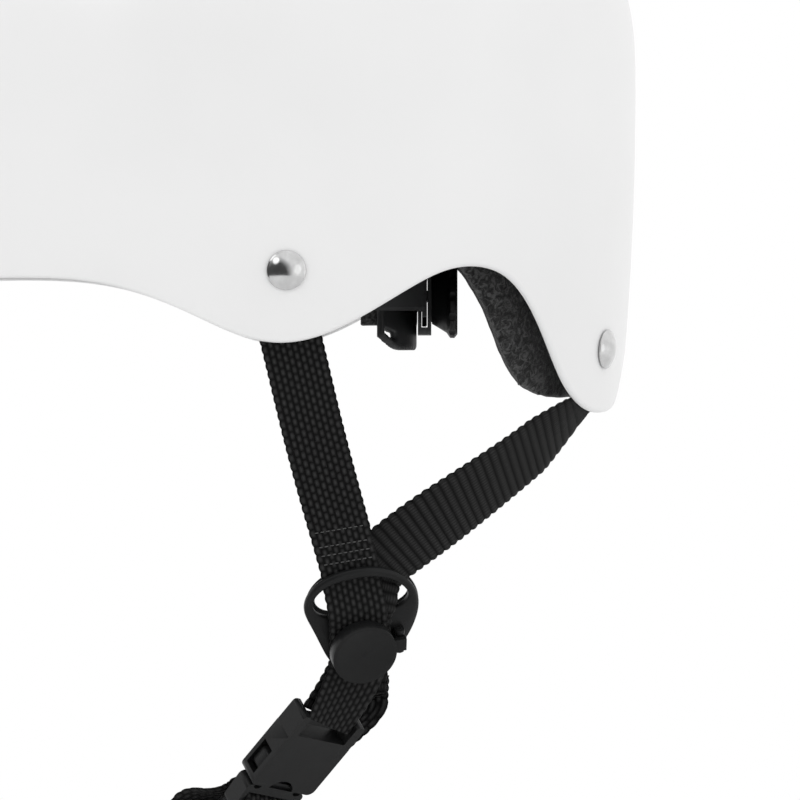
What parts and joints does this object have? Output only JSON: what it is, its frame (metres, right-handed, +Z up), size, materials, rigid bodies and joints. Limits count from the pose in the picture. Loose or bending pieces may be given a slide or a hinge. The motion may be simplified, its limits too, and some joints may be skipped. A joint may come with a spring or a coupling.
{
  "type": "water sports helmet",
  "caption": "Half-shell water helmet with padded foam lining, riveted Y-straps, clamp dividers, side-release chin buckle and a dial-fit head cradle.",
  "frame": {"origin": "middle of the head opening, level with the front rim, where the wearer's head seats", "axes": "front is -Y, the wearer's left is +X, +Z is up through the crown"},
  "size_m": [0.2254, 0.268, 0.353],
  "materials": {
    "shell_white": "satin-gloss white moulded shell",
    "liner_foam": "closed-cell charcoal foam with a fine pebbled skin",
    "pad_felt": "charcoal brushed fabric over foam",
    "webbing": "black woven webbing with cross ribs",
    "black_plastic": "satin black moulded plastic",
    "cradle_plastic": "satin dark grey flexible plastic",
    "keeper_rubber": "matt black rubber",
    "rivet_steel": "polished stainless steel"
  },
  "bodies": {
    "root": {"outer_shell": "shell_white", "liner_front": "liner_foam", "liner_left": "liner_foam", "liner_right": "liner_foam", "liner_rear_left": "liner_foam", "liner_rear_right": "liner_foam", "liner_crown": "liner_foam", "brow_pad": "pad_felt", "side_pad_left": "pad_felt", "side_pad_right": "pad_felt", "crown_pad": "pad_felt", "nape_pad_left": "pad_felt", "nape_pad_right": "pad_felt", "strap_rivets": "rivet_steel", "rivet_washers": "rivet_steel", "strap_front_left": "webbing", "strap_front_right": "webbing", "strap_rear_left": "webbing", "strap_rear_right": "webbing", "strap_divider_left": "black_plastic", "strap_divider_right": "black_plastic", "clamp_pin_left": "rivet_steel", "clamp_pin_right": "rivet_steel", "headband_arm_left": "cradle_plastic", "headband_arm_right": "cradle_plastic", "anchor_pin_left": "cradle_plastic", "anchor_pin_right": "cradle_plastic", "buckle_socket": "black_plastic", "buckle_plug": "black_plastic", "chin_strap": "webbing", "chin_strap_tail": "webbing"},
    "cradle": {"cradle_frame": "cradle_plastic", "cradle_pad": "pad_felt", "dial_housing": "cradle_plastic", "dial_cover": "cradle_plastic", "detent_spring": "rivet_steel"},
    "dial": {"dial_knob": "black_plastic", "dial_shaft": "rivet_steel", "pinion": "cradle_plastic"},
    "rack_left_end": {"rack_left": "cradle_plastic"},
    "rack_right_end": {"rack_right": "cradle_plastic"},
    "left_clamp": {"clamp_cap_left": "black_plastic"},
    "right_clamp": {"clamp_cap_right": "black_plastic"},
    "outer_prong": {"buckle_prong_outer": "black_plastic"},
    "inner_prong": {"buckle_prong_inner": "black_plastic"},
    "keeper": {"tail_keeper": "keeper_rubber"}
  },
  "joints": [
    {"name": "cradle_slide", "type": "slide", "parent": "root", "child": "cradle", "axis": [0, 1, 0], "range_m": [-0.004, 0.013]},
    {"name": "left_rack_slide", "type": "slide", "parent": "root", "child": "rack_left_end", "axis": [0.7071, 0.7071, 0], "range_m": [-0.00576, 0.01849], "deforming": ["headband_arm_left"]},
    {"name": "right_rack_slide", "type": "slide", "parent": "root", "child": "rack_right_end", "axis": [-0.7071, 0.7071, 0], "range_m": [-0.00576, 0.01849], "deforming": ["headband_arm_right"]},
    {"name": "dial_turn", "type": "hinge", "parent": "cradle", "child": "dial", "pos_m": [0, 0.06, -0.003], "axis": [0, 1, 0], "range_deg": [-38.7, 124.64]},
    {"name": "left_clamp_hinge", "type": "hinge", "parent": "root", "child": "left_clamp", "pos_m": [0.07319, 0.05475, -0.11739], "axis": [0.546, 0.0251, 0.8374], "range_deg": [0, 95]},
    {"name": "right_clamp_hinge", "type": "hinge", "parent": "root", "child": "right_clamp", "pos_m": [-0.07319, 0.05475, -0.11739], "axis": [0.546, -0.0251, -0.8374], "range_deg": [0, 95]},
    {"name": "outer_prong_flex", "type": "hinge", "parent": "root", "child": "outer_prong", "pos_m": [0.0596, 0.00651, -0.16353], "axis": [0.5899, 0.3901, -0.707], "range_deg": [-6, 0], "stiffness_Nm_per_rad": 0.25},
    {"name": "inner_prong_flex", "type": "hinge", "parent": "root", "child": "inner_prong", "pos_m": [0.04779, 0.01924, -0.16636], "axis": [0.5899, 0.3901, -0.707], "range_deg": [0, 6], "stiffness_Nm_per_rad": 0.25},
    {"name": "keeper_slide", "type": "slide", "parent": "root", "child": "keeper", "axis": [-0.8703, -0.3372, -0.359], "range_m": [0, 0.004]}
  ],
  "couplings": [
    {"joint": "left_rack_slide", "follows": "cradle_slide", "ratio": 1.4142},
    {"joint": "right_rack_slide", "follows": "cradle_slide", "ratio": 1.4142},
    {"joint": "dial_turn", "follows": "cradle_slide", "rad_per_m": 166.67}
  ]
}
